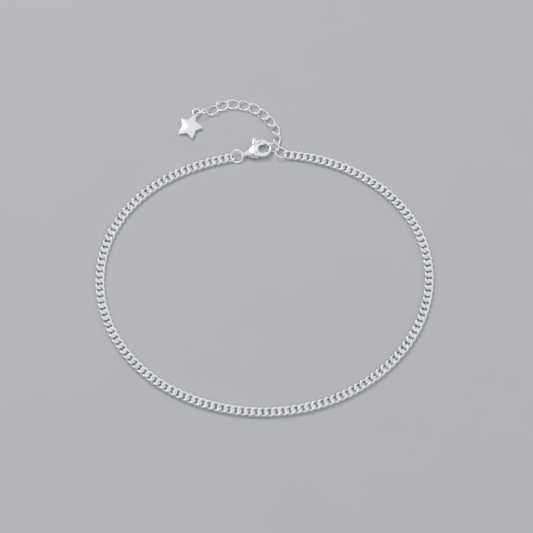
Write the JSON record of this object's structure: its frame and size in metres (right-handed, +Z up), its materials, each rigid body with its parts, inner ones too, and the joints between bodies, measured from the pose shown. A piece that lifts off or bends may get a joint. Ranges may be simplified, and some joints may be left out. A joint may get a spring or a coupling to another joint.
{
  "type": "chain anklet",
  "caption": "Silver curb-chain anklet lying fastened in a loop, with a lobster clasp, an oval-link extender chain and a small puffed star charm.",
  "frame": {"origin": "middle of the ankle opening, on the surface that the anklet lies on", "axes": "+Z up out of that surface, +X along the loop's long way, +Y towards the clasp"},
  "size_m": [0.0824, 0.0823, 0.0026],
  "materials": {
    "silver": "bright polished sterling silver"
  },
  "bodies": {
    "anklet": {"curb_chain": "silver", "jump_ring_clasp": "silver", "clasp_body": "silver", "clasp_rivet": "silver", "extender_link_01": "silver", "extender_link_02": "silver", "extender_link_03": "silver", "extender_link_04": "silver", "extender_link_05": "silver", "extender_link_06": "silver", "extender_link_07": "silver", "extender_link_08": "silver", "extender_link_09": "silver", "extender_link_10": "silver", "extender_link_11": "silver", "jump_ring_extender": "silver", "star_charm": "silver"},
    "lever": {"clasp_lever": "silver"}
  },
  "joints": [
    {"name": "clasp_lever_hinge", "type": "hinge", "parent": "anklet", "child": "lever", "pos_m": [-0.00255, 0.0327, 0.00118], "axis": [0, 0, 1], "range_deg": [0, 20], "stiffness_Nm_per_rad": 0.01, "springref_deg": -17.19}
  ]
}
